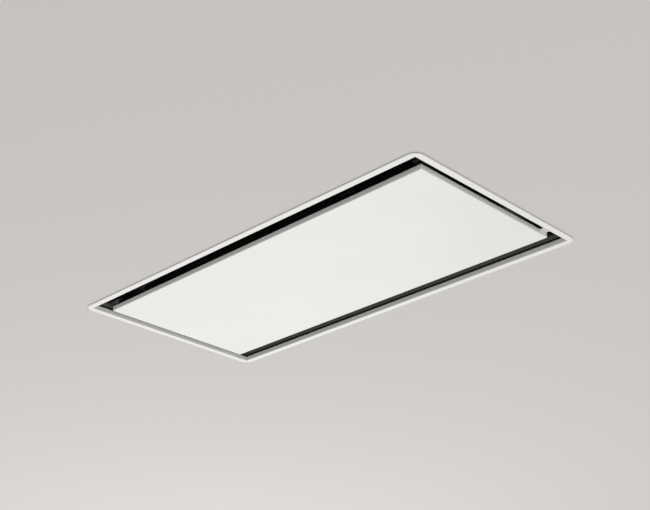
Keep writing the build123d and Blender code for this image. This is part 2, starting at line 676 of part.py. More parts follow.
def scroll_foot(side):
    """A leg in the plane of the side wall, with its foot."""
    half = FOOT_WIDTH / 2
    x = side * FOOT_SPREAD
    leg = rect(x - half, x + half, -FOOT_DROP, -FOOT_DROP / 3)
    solid = scroll_slab(leg, -SCROLL_SIDE, -SCROLL_HALF)
    pad = rect(x - half, x + half, -FOOT_DROP, -FOOT_DROP + FOOT_T)
    solid += scroll_slab(pad, -SCROLL_SIDE, -SCROLL_SIDE + FOOT_LENGTH)
    hole = Pos(FAN_X + x, -FOOT_Y) * Circle(SCREW_R)
    foot_z = FAN_Z - FOOT_DROP
    return solid - slab_z(hole, foot_z, foot_z + FOOT_T)


def scroll_half():
    """The half that lies at negative Y."""
    half = scroll_slab(volute(SCROLL_T), -SCROLL_SIDE, 0)
    half += scroll_slab(volute(SCROLL_T + SCROLL_FLANGE) - volute(SCROLL_T), -SCROLL_FLANGE_T, 0)
    half += [scroll_foot(side) for side in (-1, 1)]
    inside = fillet(volute().vertices().filter_by(at_tongue), TONGUE_R)
    half -= scroll_slab(inside, -SCROLL_HALF, 0)
    brim = scroll_slab(Circle(INLET_R + INLET_FLARE), -SCROLL_SIDE - SCROLL_T, -SCROLL_SIDE)
    return half + brim + inlet_cone(SCROLL_T) - inlet_cone(0)


def inlet_cone(grow):
    """The space of the conical inlet, grown by a wall's thickness or by nothing."""
    throat = SCROLL_HALF - INLET_DEPTH
    brim = SCROLL_SIDE + SCROLL_T
    neck_r, mouth_r = INLET_R + grow, INLET_R + INLET_FLARE
    slope = (brim - throat - INLET_THROAT) / INLET_FLARE
    end = brim - grow
    neck = end - (mouth_r - neck_r) * slope
    outline = Polyline((0, throat), (neck_r, throat), (neck_r, neck), (mouth_r, end), (0, end), close=True)
    return FAN_AXIS * revolve(Plane.XZ * make_face(outline), Axis.Z)


def at_tongue(vertex):
    return abs(vertex.Y - TONGUE_Z) < 1 and vertex.X < OUTLET_REACH - 1


def impeller():
    """Forward-curved blades between two rings, carried by a disc and hub at mid width."""
    tip_r = IMPELLER_R - BLADE_T
    lean = radians(BLADE_LEAN)
    heel = (IMPELLER_R - BLADE_DEPTH, 0)
    tip = (tip_r * cos(lean), tip_r * sin(lean))
    curve = RadiusArc(heel, tip, BLADE_ARC_R)
    folds = [curve @ (i / BLADE_FLATS) for i in range(BLADE_FLATS + 1)]
    across = (curve % 0.5).rotate(Axis.Z, 90) * BLADE_T
    blade = zigzag([(fold.X, fold.Y) for fold in folds], across.X, across.Y)
    ring = Circle(IMPELLER_R) - Circle(IMPELLER_R - RING_WIDTH)
    wheel = extrude(Circle(IMPELLER_R - RING_WIDTH), DISC_T / 2, both=True)
    wheel += extrude(Pos(0, 0, -HUB_REAR) * Circle(HUB_R), HUB_REAR + HUB_FRONT)
    for end in (-IMPELLER_HALF, IMPELLER_HALF - RING_T):
        wheel += extrude(Pos(0, 0, end) * ring, RING_T)
    reach = IMPELLER_HALF - RING_T / 2
    bar = extrude(blade, reach, both=True)
    wheel += [Rot(0, 0, 360 * i / BLADE_COUNT) * bar for i in range(BLADE_COUNT)]
    wheel -= extrude(Pos(0, 0, -HUB_REAR) * Circle(SHAFT_R), HUB_REAR + HUB_FRONT)
    return FAN_AXIS * wheel


def fan_shaft():
    front = HUB_FRONT + SHAFT_PROUD
    rear = -MOTOR_FRONT - SHAFT_SEAT + MOVE_GAP
    return FAN_AXIS * extrude(Pos(0, 0, rear) * Circle(SHAFT_R), front - rear)


def motor_front_shield():
    rear = MOTOR_FRONT + SHIELD_DEPTH
    cup = scroll_slab(Circle(MOTOR_R), MOTOR_FRONT + BEARING_BOSS, rear)
    cup = chamfer(cup.faces().sort_by(Axis.Y)[0].edges(), SHIELD_EDGE)
    cup += scroll_slab(Circle(BEARING_BOSS_R), MOTOR_FRONT, MOTOR_FRONT + BEARING_BOSS)
    seat = scroll_slab(Circle(SHAFT_R + RUN_FIT), MOTOR_FRONT, MOTOR_FRONT + SHAFT_SEAT)
    return cup - seat


def motor_stator():
    front = MOTOR_FRONT + SHIELD_DEPTH
    return scroll_slab(Circle(MOTOR_R + STATOR_PROUD), front, MOTOR_REAR - SHIELD_DEPTH)


def motor_rear_shield():
    """The rear end shield, with the bush that the motor's lead comes out of."""
    cup = scroll_slab(Circle(MOTOR_R), MOTOR_REAR - SHIELD_DEPTH, MOTOR_REAR)
    cup = chamfer(cup.faces().sort_by(Axis.Y)[-1].edges(), SHIELD_EDGE)
    end = MOTOR_REAR + SPIDER_T + LEAD_BUSH_LENGTH
    return cup + scroll_slab(Pos(-LEAD_BUSH_OFFSET, 0) * Circle(LEAD_BUSH_R), MOTOR_REAR, end)


def mount_places():
    return [
        (MOUNT_CIRCLE_R * cos(radians(a)), MOUNT_CIRCLE_R * sin(radians(a))) for a in SPIDER_ANGLES
    ]


def motor_spider():
    plate = Circle(SPIDER_DISC_R)
    for angle, place in zip(SPIDER_ANGLES, mount_places()):
        middle = Pos(place[0] / 2, place[1] / 2) * Rot(0, 0, angle)
        plate += middle * SlotCenterToCenter(MOUNT_CIRCLE_R, SPIDER_ARM)
    plate -= Pos(-LEAD_BUSH_OFFSET, 0) * Circle(LEAD_BUSH_R)
    return scroll_slab(plate, MOTOR_REAR, MOTOR_REAR + SPIDER_T)


def motor_mounts():
    return Compound([
        scroll_slab(Pos(*place) * Circle(MOUNT_R), SCROLL_SIDE, MOTOR_REAR).solid()
        for place in mount_places()
    ])


def fan_rail(side):
    half = RAIL_WIDTH / 2
    x = FAN_X + side * FOOT_SPREAD
    top = CASING_HEIGHT + RAIL_HEIGHT
    section = strip(
        [(x - half - RAIL_FOOT, CASING_HEIGHT), (x - half, CASING_HEIGHT), (x - half, top - BRACKET_T),
         (x + half, top - BRACKET_T), (x + half, CASING_HEIGHT), (x + half + RAIL_FOOT, CASING_HEIGHT)],
        BRACKET_T,
        BRACKET_T,
    )
    reach = BOX_HALF - SHEET_T - FIT
    return slab_y(section, -reach, reach)


def foot_places():
    return [(FAN_X + x, y) for x, y in corners(FOOT_SPREAD, FOOT_Y)]


def fan_buffers():
    """Rubber buffers between the rails and the scroll's feet, each with a stud through the foot."""
    low = CASING_HEIGHT + RAIL_HEIGHT
    foot = low + BUFFER_HEIGHT
    stud = foot + FOOT_T + STUD_REACH
    buffers = []
    for x, y in foot_places():
        buffer = slab_z(Pos(x, y) * Circle(BUFFER_R), low, foot)
        buffer += slab_z(Pos(x, y) * Circle(SCREW_R), foot, stud)
        buffers.append(buffer.solid())
    return Compound(buffers)


# ---- Fan box, duct collar and damper --------------------------------------------------------
def flange_screw_places():
    """Two on each side of the box that faces the short ends, so the box can be turned about."""
    return corners(FLANGE_MID, FLANGE_SCREW_OFFSET)


def fan_box():
    inside = 2 * (BOX_HALF - SHEET_T)
    outside = 2 * BOX_HALF
    rim = 2 * (BOX_HALF + BOX_FLANGE)
    hollow = RectangleRounded(inside, inside, BEND_R)
    wall = RectangleRounded(outside, outside, BEND_R + SHEET_T) - hollow
    flange = Rectangle(rim, rim) - hollow
    box = slab_z(wall, CASING_HEIGHT, BOX_TOP)
    box += slab_z(flange, CASING_HEIGHT, CASING_HEIGHT + SHEET_T)
    box -= slab_x(Pos(0, DUCT_Z) * Circle(COLLAR_R), BOX_HALF - SHEET_T, BOX_HALF)
    box -= slab_x(Pos(LEAD_Y, LEAD_Z) * Circle(LEAD_R + GROMMET_LIP_T), -BOX_HALF, SHEET_T - BOX_HALF)
    for x, y in flange_screw_places():
        box -= slab_z(Pos(x, y) * Circle(SCREW_R), CASING_HEIGHT, CASING_HEIGHT + SHEET_T)
    return box


def fan_box_lid():
    half = BOX_HALF + FIT
    outer = 2 * (half + SHEET_T)
    block = slab_z(Rectangle(outer, outer), BOX_TOP - LID_SKIRT, BOX_TOP + SHEET_T)
    block = fillet(block.edges().filter_by(Axis.Z), SHEET_T + BEND_R)
    block = chamfer(block.faces().sort_by(Axis.Z)[-1].edges(), SHEET_T)
    lid = block - slab_z(RectangleRounded(2 * half, 2 * half, BEND_R), BOX_TOP - LID_SKIRT, BOX_TOP)
    bead = SlotOverall(LID_BEAD_LENGTH, LID_BEAD_WIDTH)
    inside = Rectangle(LID_BEAD_LENGTH - LID_BEAD_WIDTH, LID_BEAD_WIDTH - 2 * SHEET_T)
    cross = Rot(0, 0, 45) * bead + Rot(0, 0, 135) * bead
    hollow = Rot(0, 0, 45) * inside + Rot(0, 0, 135) * inside
    lid += slab_z(cross, BOX_TOP + SHEET_T, BOX_TOP + SHEET_T + LID_BEAD_HEIGHT)
    return lid - slab_z(hollow, BOX_TOP, BOX_TOP + LID_BEAD_HEIGHT)


def outlet_adaptor():
    """From the scroll's rectangular outlet to the round collar, folded along straight lines."""
    return adaptor_space(ADAPTOR_T) - adaptor_space(0)


def adaptor_space(grow):
    """What the adaptor encloses: a fan of facets at each corner and one facet on each side."""
    half, radius = SCROLL_HALF + grow, DUCT_R + grow
    low, high = FAN_Z + TONGUE_Z - grow, FAN_Z + SCROLL_TOP + grow
    mouth = [(OUTLET_X, y, z) for y, z in ((half, high), (-half, high), (-half, low), (half, low))]
    turns = [radians(90 * i / ADAPTOR_FOLDS) for i in range(4 * ADAPTOR_FOLDS)]
    end = BOX_HALF - SHEET_T
    ring = [(end, radius * cos(turn), DUCT_Z + radius * sin(turn)) for turn in turns]
    facets = [mouth, ring]
    for k, corner in enumerate(mouth):
        fan = (ring + ring[:1])[k * ADAPTOR_FOLDS:(k + 1) * ADAPTOR_FOLDS + 1]
        facets += [(corner, a, b) for a, b in zip(fan, fan[1:])]
        facets.append((corner, fan[-1], mouth[(k + 1) % 4]))
    return Solid(Shell([Face(Wire.make_polygon(points)) for points in facets]))


def outlet_collar():
    start = BOX_HALF - SHEET_T
    end = BOX_HALF + COLLAR_LENGTH
    place = Pos(0, DUCT_Z)
    collar = slab_x(place * (Circle(COLLAR_R) - Circle(DUCT_R)), start, end)
    flange = Circle(COLLAR_R + COLLAR_FLANGE) - Circle(DUCT_R)
    collar += slab_x(place * flange, BOX_HALF, BOX_HALF + COLLAR_T)
    bead = Pos(0, DUCT_Z) * (Circle(COLLAR_R + COLLAR_BEAD) - Circle(DUCT_R))
    bead_x = BOX_HALF + COLLAR_BEAD_AT
    bead = slab_x(bead, bead_x - COLLAR_BEAD, bead_x + COLLAR_BEAD)
    edges = bead.edges().filter_by(GeomType.CIRCLE).filter_by(lambda e: e.radius > COLLAR_R)
    collar += chamfer(edges, COLLAR_BEAD - FIT)
    return collar - damper_pin()


def damper_pin():
    top = COLLAR_R - COLLAR_T / 3
    return slab_z(Pos(DAMPER_X, 0) * Circle(DAMPER_PIN_R), DUCT_Z - top, DUCT_Z + top)


def knuckle_spans():
    """Bottom and top of each hinge knuckle on the damper pin."""
    reach = DUCT_R - 2 * KNUCKLE_R
    pitch = 2 * reach / KNUCKLE_COUNT
    low = DUCT_Z - reach
    return [(low + i * pitch + KNUCKLE_GAP / 2, low + (i + 1) * pitch - KNUCKLE_GAP / 2)
            for i in range(KNUCKLE_COUNT)]


def damper_flap(first):
    """The half-round flap on the +Y side, with every other knuckle from the first one."""
    half = FLAP_T / 2
    free = KNUCKLE_R + KNUCKLE_GAP
    disc = Pos(0, DUCT_Z) * Circle(DUCT_R - FLAP_CLEAR)
    disc &= rect(free, DUCT_R, DUCT_Z - DUCT_R, DUCT_Z + DUCT_R)
    flap = slab_x(disc, DAMPER_X - half, DAMPER_X + half)
    for low, high in knuckle_spans()[first::2]:
        flap += slab_x(rect(0, 2 * free, low, high), DAMPER_X - half, DAMPER_X + half)
        flap += slab_z(Pos(DAMPER_X, 0) * Circle(KNUCKLE_R), low, high)
        flap -= slab_z(Pos(DAMPER_X, 0) * Circle(DAMPER_PIN_R + RUN_FIT), low, high)
    return flap


# ---- Control box, its contents, the gland and the motor lead --------------------------------
def control_base():
    outline = RectangleRounded(CONTROL_LENGTH, CONTROL_WIDTH, CONTROL_CORNER_R)
    wall = 2 * CONTROL_WALL
    inside = RectangleRounded(CONTROL_LENGTH - wall, CONTROL_WIDTH - wall, CONTROL_CORNER_R - CONTROL_WALL)
    place = Pos(CONTROL_X, 0)
    floor = CASING_HEIGHT + CONTROL_WALL
    base = slab_z(place * outline, CASING_HEIGHT, CONTROL_TOP)
    base -= slab_z(place * inside, floor, CONTROL_TOP)
    for side in (-1, 1):
        y = side * (BOARD_WIDTH - RAIL_T) / 2
        base += slab_z(Pos(board_centre(), y) * Rectangle(BOARD_LENGTH, RAIL_T), floor, floor + BOARD_RISE)
    end = CONTROL_X + CONTROL_LENGTH / 2
    base -= slab_x(Pos(LEAD_Y, LEAD_Z) * Circle(LEAD_R + GROMMET_LIP_T), end - CONTROL_WALL, end)
    start = CONTROL_X - CONTROL_LENGTH / 2
    return base - slab_x(Pos(GLAND_Y, LEAD_Z) * Circle(GLAND_THREAD_R), start, start + CONTROL_WALL)


def board_centre():
    return CONTROL_X + (CONTROL_LENGTH - BOARD_LENGTH) / 2 - CONTROL_WALL - BOARD_MARGIN


def board_foot():
    return CASING_HEIGHT + CONTROL_WALL + BOARD_RISE


def circuit_board():
    z = board_foot()
    return slab_z(Pos(board_centre(), 0) * RectangleRounded(BOARD_LENGTH, BOARD_WIDTH, BOARD_CORNER_R), z, z + BOARD_T)


def board_relays():
    """Three speed relays and the small mains transformer."""
    z = board_foot() + BOARD_T
    x = board_centre() - BOARD_LENGTH / 2 + RELAY_LENGTH
    outline = Rectangle(RELAY_LENGTH, RELAY_WIDTH)
    ys = [RELAY_WIDTH - BOARD_WIDTH / 2 + i * (RELAY_WIDTH + RELAY_GAP) for i in range(RELAY_COUNT)]
    blocks = [slab_z(Pos(x, y) * outline, z, z + RELAY_HEIGHT) for y in ys]
    x = board_centre() + (BOARD_LENGTH - TRANSFORMER_LENGTH) / 2 - BOARD_MARGIN
    y = (TRANSFORMER_WIDTH - BOARD_WIDTH) / 2 + 2 * BOARD_MARGIN
    core = Pos(x, y) * Rectangle(TRANSFORMER_LENGTH, TRANSFORMER_WIDTH)
    blocks.append(slab_z(core, z, z + TRANSFORMER_HEIGHT))
    return Compound([block.solid() for block in blocks])


def motor_capacitor():
    z = board_foot() + BOARD_T + CAPACITOR_R
    y = BOARD_WIDTH / 2 - CAPACITOR_R - 2 * BOARD_MARGIN
    x0 = board_centre() - CAPACITOR_LENGTH / 2
    can = slab_x(Pos(y, z) * Circle(CAPACITOR_R), x0, x0 + CAPACITOR_LENGTH)
    return chamfer(can.faces().sort_by(Axis.X)[0].edges(), CAPACITOR_R / 6)


def terminal_block():
    length = TERMINAL_POLES * TERMINAL_PITCH
    x = board_centre() - BOARD_LENGTH / 2 - TERMINAL_DEPTH / 2 - FIT
    floor = CASING_HEIGHT + CONTROL_WALL
    step = TERMINAL_HEIGHT / 3
    low = rect(x - TERMINAL_DEPTH / 2, x + TERMINAL_DEPTH / 2, floor, floor + TERMINAL_HEIGHT - step)
    crown = rect(x - TERMINAL_DEPTH / 4, x + TERMINAL_DEPTH / 4, floor, floor + TERMINAL_HEIGHT)
    block = slab_y(low + crown, GLAND_Y - length / 2, GLAND_Y + length / 2)
    for i in range(TERMINAL_POLES):
        y = GLAND_Y + (i - (TERMINAL_POLES - 1) / 2) * TERMINAL_PITCH
        hole = Pos(y, floor + step) * Circle(TERMINAL_HOLE_R)
        block -= slab_x(hole, x - TERMINAL_DEPTH / 2, x - TERMINAL_DEPTH / 4)
    return block


def control_lid():
    grow = FIT + CONTROL_WALL
    outline = RectangleRounded(CONTROL_LENGTH + 2 * grow, CONTROL_WIDTH + 2 * grow, CONTROL_CORNER_R + grow)
    inner = RectangleRounded(CONTROL_LENGTH + 2 * FIT, CONTROL_WIDTH + 2 * FIT, CONTROL_CORNER_R + FIT)
    place = Pos(CONTROL_X, 0)
    lid = slab_z(place * outline, CONTROL_TOP - CONTROL_LID_SKIRT, CONTROL_TOP + CONTROL_LID_T)
    lid = chamfer(lid.faces().sort_by(Axis.Z)[-1].edges(), CONTROL_LID_T / 2)
    return lid - slab_z(place * inner, CONTROL_TOP - CONTROL_LID_SKIRT, CONTROL_TOP)


def cable_gland():
    start = CONTROL_X - CONTROL_LENGTH / 2
    place = Pos(GLAND_Y, LEAD_Z)
    dome = start - GLAND_NUT_T - GLAND_NUT_LENGTH
    gland = slab_x(place * RegularPolygon(GLAND_HEX_R, 6), start - GLAND_NUT_T, start)
    gland += slab_x(place * Circle(GLAND_THREAD_R), start, start + CONTROL_WALL)
    nut = slab_x(place * Circle(GLAND_NUT_R), dome, start - GLAND_NUT_T)
    gland += chamfer(nut.faces().sort_by(Axis.X)[0].edges(), GLAND_NUT_T, GLAND_NUT_T / 2)
    inside = start + CONTROL_WALL
    gland += slab_x(place * RegularPolygon(GLAND_HEX_R, 6), inside, inside + GLAND_NUT_T)
    return gland - slab_x(place * Circle(GLAND_BORE_R), dome, inside + GLAND_NUT_T)


def lead_grommet(inner, outer):
    """A rubber grommet in the sheet between x = inner and x = outer."""
    place = Pos(LEAD_Y, LEAD_Z)
    body = slab_x(place * Circle(LEAD_R + GROMMET_LIP_T), inner, outer)
    lip = Circle(LEAD_R + GROMMET_LIP_T + GROMMET_LIP)
    body += slab_x(place * lip, inner - GROMMET_LIP_T, inner)
    body += slab_x(place * lip, outer, outer + GROMMET_LIP_T)
    return body - slab_x(place * Circle(LEAD_R), inner - GROMMET_LIP_T, outer + GROMMET_LIP_T)


def motor_lead():
    """From the control box through both grommets, round the scroll and into the motor."""
    bush_x = FAN_X - LEAD_BUSH_OFFSET
    bush_y = MOTOR_REAR + SPIDER_T + LEAD_BUSH_LENGTH
    points = [
        (CONTROL_X + CONTROL_LENGTH / 2 - CONTROL_WALL - GROMMET_LIP_T, LEAD_Y, LEAD_Z),
        (LEAD_TURN_X, LEAD_Y, LEAD_Z),
        (LEAD_TURN_X + LEAD_CLIMB, bush_y + LEAD_BOW, FAN_Z - LEAD_DIP),
        (bush_x, bush_y + LEAD_BOW, FAN_Z),
        (bush_x, bush_y, FAN_Z),
    ]
    return tube(points, LEAD_R)


def tube(points, radius):
    """A round lead: straight runs joined by arcs as large as the runs allow."""
    route = [Vector(*p) for p in points]
    radii = []
    for before, here, after in zip(route, route[1:], route[2:]):
        run = min((here - before).length, (after - here).length)
        half_turn = radians((here - before).get_angle(after - here)) / 2
        radii.append(BEND_SHARE * run / tan(half_turn))
    path = FilletPolyline(*points, radius=radii)
    solid = sweep(Plane(path @ 0, z_dir=path % 0) * Circle(radius), path=path)
    print("lead: radii", [round(r, 1) for r in radii], "length", round(path.length, 1),
          "volume ratio", round(solid.volume / (Circle(radius).area * path.length), 4))
    return solid


# ---- Hanging brackets -----------------------------------------------------------------------
def hanging_bracket(x, y):
    """A Z-shaped bracket: its foot on the casing, its raised tab round the threaded rod."""
    inward = -1 if x > 0 else 1
    tab = HANGER_TAB / 2
    base = CASING_HEIGHT
    rise = base + HANGER_RISE
    section = strip(
        [(tab + HANGER_FOOT, base), (tab, base), (tab, rise), (-tab, rise)],
        HANGER_T,
        HANGER_T,
        Side.RIGHT,
    )
    bracket = slab_y(section, -HANGER_WIDTH / 2, HANGER_WIDTH / 2)
    bracket -= slab_z(Circle(ROD_HOLE_R), rise - HANGER_T, rise + HANGER_T)
    turned = bracket if inward > 0 else mirror(bracket, about=Plane.YZ)
    return Pos(x, y, 0) * turned


# ---- The nodes ------------------------------------------------------------------------------
nodes = {
    "trim_frame": trim_frame(),
    "frame_seal": frame_seal(),
    "chamber_wall": chamber_wall(),
    "filter_deck": filter_deck(),
    "casing_wrap": casing_wrap(),
    "casing_end_right": casing_end(),
    "casing_end_left": mirrored_x(casing_end()),
    "suction_panel": suction_panel(),
    "stiffener_front": panel_stiffener(-STIFFENER_SPACING / 2),
    "stiffener_rear": panel_stiffener(STIFFENER_SPACING / 2),
    "rear_ledge": rear_ledge(),
    "scroll_front": scroll_half(),
    "scroll_rear": mirror(scroll_half(), about=Plane.XZ),
    "impeller": impeller(),
    "fan_shaft": fan_shaft(),
    "motor_front_shield": motor_front_shield(),
    "motor_stator": motor_stator(),
    "motor_rear_shield": motor_rear_shield(),
    "motor_spider": motor_spider(),
    "motor_mounts": motor_mounts(),
    "fan_rail_left": fan_rail(-1),
    "fan_rail_right": fan_rail(1),
    "fan_buffers": fan_buffers(),
    "fan_box": fan_box(),
    "fan_box_lid": fan_box_lid(),
    "outlet_adaptor": outlet_adaptor(),
    "outlet_collar": outlet_collar(),
    "damper_pin": damper_pin(),
    "damper_flap_rear": damper_flap(0),
    "damper_flap_front": mirror(damper_flap(1), about=Plane.XZ),
    "control_base": control_base(),
    "control_lid": control_lid(),
    "circuit_board": circuit_board(),
    "board_relays": board_relays(),
    "motor_capacitor": motor_capacitor(),
    "terminal_block": terminal_block(),
    "cable_gland": cable_gland(),
    "motor_lead": motor_lead(),
}
for name, piece in (
    ("hinge_arms", hinge_arm()),
    ("hinge_brackets", hinge_bracket()),
    ("hinge_pins", hinge_pin()),
    ("strike_plates", strike_plate()),
    ("catch_housings", catch_housing()),
    ("catch_magnets", catch_magnet()),
    ("catch_brackets", catch_bracket()),
):
    nodes[name] = Compound([piece.solid(), mirrored_x(piece).solid()])
for name, x in (("left", -FILTER_X), ("right", FILTER_X)):
    nodes["filter_frame_" + name] = filter_frame(x)
    nodes["filter_core_" + name] = filter_core(x)
    nodes["latch_housing_" + name] = latch_housing(x)
    nodes["latch_slider_" + name] = latch_slider(x)
    nodes["latch_spring_" + name] = latch_spring(x)
nodes["latch_keepers"] = Compound([latch_keeper(x).solid() for x in (-FILTER_X, FILTER_X)])
box_wall = CONTROL_X + CONTROL_LENGTH / 2
nodes["lead_grommets"] = Compound([
    lead_grommet(box_wall - CONTROL_WALL, box_wall).solid(),
    lead_grommet(-BOX_HALF, SHEET_T - BOX_HALF).solid(),
])
nodes["hanging_brackets"] = Compound([
    hanging_bracket(x, y).solid() for x, y in corners(ROD_X, ROD_Y)
])

for name, solid in nodes.items():
    export_step(solid, f"parts/{name}.step")
print(len(nodes), "nodes")
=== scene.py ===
# %% [markdown]
# # A flush ceiling range hood
# The hood hangs in a cut-out of the ceiling. From the room one sees a slim white rim, a flat white
# panel and a dark slot all round it. Above the ceiling there are a galvanised casing, a fan box
# with its duct collar and a control box. The shapes come from a CAD model that is already the
# right size, so this lesson gives them their finishes, adds the small pieces that hold them
# together, and then sets the light and the camera.

# %% Load the CAD model
import math

import bpy
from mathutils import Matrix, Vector


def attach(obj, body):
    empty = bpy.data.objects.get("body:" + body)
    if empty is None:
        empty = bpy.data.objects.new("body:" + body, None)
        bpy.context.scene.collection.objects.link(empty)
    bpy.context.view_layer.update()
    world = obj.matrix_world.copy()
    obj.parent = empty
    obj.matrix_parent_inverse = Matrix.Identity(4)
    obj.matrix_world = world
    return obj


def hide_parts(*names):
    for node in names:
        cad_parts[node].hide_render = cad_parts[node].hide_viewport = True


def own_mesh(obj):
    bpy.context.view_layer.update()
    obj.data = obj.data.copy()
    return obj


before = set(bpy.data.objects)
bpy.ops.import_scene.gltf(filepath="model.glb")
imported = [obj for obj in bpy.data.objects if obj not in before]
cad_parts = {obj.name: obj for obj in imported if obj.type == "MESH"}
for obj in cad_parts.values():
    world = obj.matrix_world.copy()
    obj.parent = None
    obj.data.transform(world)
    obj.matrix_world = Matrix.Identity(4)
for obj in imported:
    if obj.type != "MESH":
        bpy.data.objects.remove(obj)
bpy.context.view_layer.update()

# %% [markdown]
# ## Units and colours
# Blender works in metres, but sheet metal is thought of in millimetres, so places below are
# written in millimetres and scaled once. Colours are written as the sRGB hex values that a
# designer would pick, and one function turns them into the linear values that the shaders need.

# %% Millimetres and colours
MM = 0.001


def linear(hex_colour):
    """An sRGB colour such as #EEEDEB as linear red, green and blue, with full opacity."""
    channels = [int(hex_colour[i:i + 2], 16) / 255 for i in (1, 3, 5)]
    return [c / 12.92 if c <= 0.04045 else ((c + 0.055) / 1.055) ** 2.4 for c in channels] + [1.0]


print("white coat, linear:", [round(c, 3) for c in linear("#EEEDEB")])

# %% [markdown]
# ## Building a material
# Every finish starts as a principled shader with one colour, roughness and metallic value. A
# pattern then makes it real: it can blend two tones, spread the roughness and raise a relief.
# Patterns take their place from the object's own coordinates in metres, so a pattern whose
# features are 8 mm wide gets a scale of 1 / 0.008, whatever piece it lies on.

# %% Material helpers
def add_node(material, kind, inputs=(), **settings):
    """Adds one shader node with its settings; an input is a value or another node's output."""
    node = material.node_tree.nodes.new("ShaderNode" + kind)
    for name, value in settings.items():
        setattr(node, name, value)
    for socket, value in dict(inputs).items():
        if isinstance(value, bpy.types.NodeSocket):
            material.node_tree.links.new(value, node.inputs[socket])
        else:
            node.inputs[socket].default_value = value
    return node


finishes = {}


def finish(slot, name, colour, roughness, metallic=0.0):
    """A new material for one of the record's slots, and the coordinates of its patterns."""
    material = bpy.data.materials.new(name)
    material.use_nodes = True
    shader = material.node_tree.nodes["Principled BSDF"]
    shader.inputs["Base Color"].default_value = linear(colour)
    shader.inputs["Roughness"].default_value = roughness
    shader.inputs["Metallic"].default_value = metallic
    finishes[slot] = material
    print("finish:", slot, "=", name)
    return material, add_node(material, "TexCoord").outputs["Object"]


def per_mm(size):
    """The texture scale at which a pattern's features are this many millimetres wide."""
    return 1 / (size * MM)


def wear_pattern(material, pattern, tones=None, roughness=None, relief=0.0, ends=(0.3, 0.7)):
    """Lets a pattern blend two tones, spread the roughness, and raise a relief in millimetres.

    The tones blend between the two ends: a noise keeps to the middle of its range, but cells
    use all of it."""
    shader = material.node_tree.nodes["Principled BSDF"]
    link = material.node_tree.links.new
    if tones:
        ramp = add_node(material, "ValToRGB", {"Fac": pattern})
        for element, place, tone in zip(ramp.color_ramp.elements, ends, tones):
            element.position = place
            element.color = linear(tone)
        link(ramp.outputs["Color"], shader.inputs["Base Color"])
    if roughness:
        spread = {"Value": pattern, "To Min": roughness[0], "To Max": roughness[1]}
        link(add_node(material, "MapRange", spread).outputs["Result"], shader.inputs["Roughness"])
    if relief:
        raised = {"Height": pattern, "Distance": relief * MM, "Strength": 1.0}
        if shader.inputs["Normal"].is_linked:
            raised["Normal"] = shader.inputs["Normal"].links[0].from_socket
        link(add_node(material, "Bump", raised).outputs["Normal"], shader.inputs["Normal"])


# %% [markdown]
# ## White powder coat
# The rim, the panel and the hinge arms are steel sheet with a baked satin powder coat. The
# powder melts into a skin with a faint orange peel, whose lumps are 1 to 2 mm wide. That is too
# fine to show from across a kitchen, so it is drawn 5 mm wide and very shallow. A broad, barely
# visible drift of tone keeps the large panel from looking like paper.

# %% White powder coat
white_coat, at = finish("white_powder_coat", "satin white powder coat", "#EEEDEB", 0.42)
drift = add_node(white_coat, "TexNoise", {"Vector": at, "Scale": per_mm(180), "Detail": 2.0})
wear_pattern(white_coat, drift.outputs["Fac"], tones=("#ECEBE9", "#EFEEEC"))
peel = add_node(white_coat, "TexNoise", {"Vector": at, "Scale": per_mm(5), "Detail": 1.0})
wear_pattern(white_coat, peel.outputs["Fac"], roughness=(0.38, 0.46), relief=0.012)

# %% [markdown]
# ## Matt powder coats of the chamber
# The filter deck, the filters and the pieces round them are black, so that nothing shows in the
# slots. The catch brackets are dark grey. Both coats are matt, with an orange peel and a light
# haze where grease and dust have settled. The chamber's wall is grey along the strip that shows
# in the slots, and from about 25 mm upwards it is painted black as painted shade, standing for the
# dark deeper up the chamber. So its tone follows the height, and the haze shifts that edge by up to
# 3 mm.

# %% Matt powder coats
def matt_coat(slot, name, colour):
    """A matt powder coat, with the haze on it and the coordinates of its patterns."""
    coat, at = finish(slot, name, colour, 0.5)
    peel = add_node(coat, "TexNoise", {"Vector": at, "Scale": per_mm(4), "Detail": 1.0})
    wear_pattern(coat, peel.outputs["Fac"], relief=0.02)
    haze = add_node(coat, "TexNoise", {"Vector": at, "Scale": per_mm(60), "Detail": 4.0})
    wear_pattern(coat, haze.outputs["Fac"], roughness=(0.42, 0.58))
    return coat, haze.outputs["Fac"], at


black_coat, haze, at = matt_coat("black_powder_coat", "matt black powder coat", "#272725")
wear_pattern(black_coat, haze, tones=("#222221", "#2B2B29"))
grey_coat, haze, at = matt_coat("grey_powder_coat", "matt grey powder coat", "#464644")
wear_pattern(grey_coat, haze, tones=("#424240", "#4A4A48"))
# Painted shade: the wall turns black from about 25 mm up, standing for the dark deeper up the
# chamber.
wall_coat, haze, at = matt_coat("wall_coat", "grey coat with painted shade above", "#747472")
height = add_node(wall_coat, "SeparateXYZ", {"Vector": at}).outputs["Z"]
SHADE_EDGE_SHIFT, SHADE_STARTS, SHADE_FULL = 3 * MM, 25.8 * MM, 27.2 * MM
shifted = {0: haze, 1: SHADE_EDGE_SHIFT, 2: height}
shade_height = add_node(wall_coat, "Math", shifted, operation="MULTIPLY_ADD").outputs["Value"]
wear_pattern(wall_coat, shade_height, tones=("#747472", "#1E1E1D"), ends=(SHADE_STARTS, SHADE_FULL))

# %% [markdown]
# ## Galvanised steel
# The casing and the fan box are hot-dip galvanised sheet. Its zinc freezes into crystals, the
# spangle, 6 to 12 mm across, and each crystal mirrors the room a little differently. Voronoi
# cells have that shape: each cell's own colour value gives its tone and its roughness. A noise
# bends the coordinates by up to 2 mm first, which frays the cells' straight edges. The two tones
# are close, because from a few steps away new sheet looks almost even.

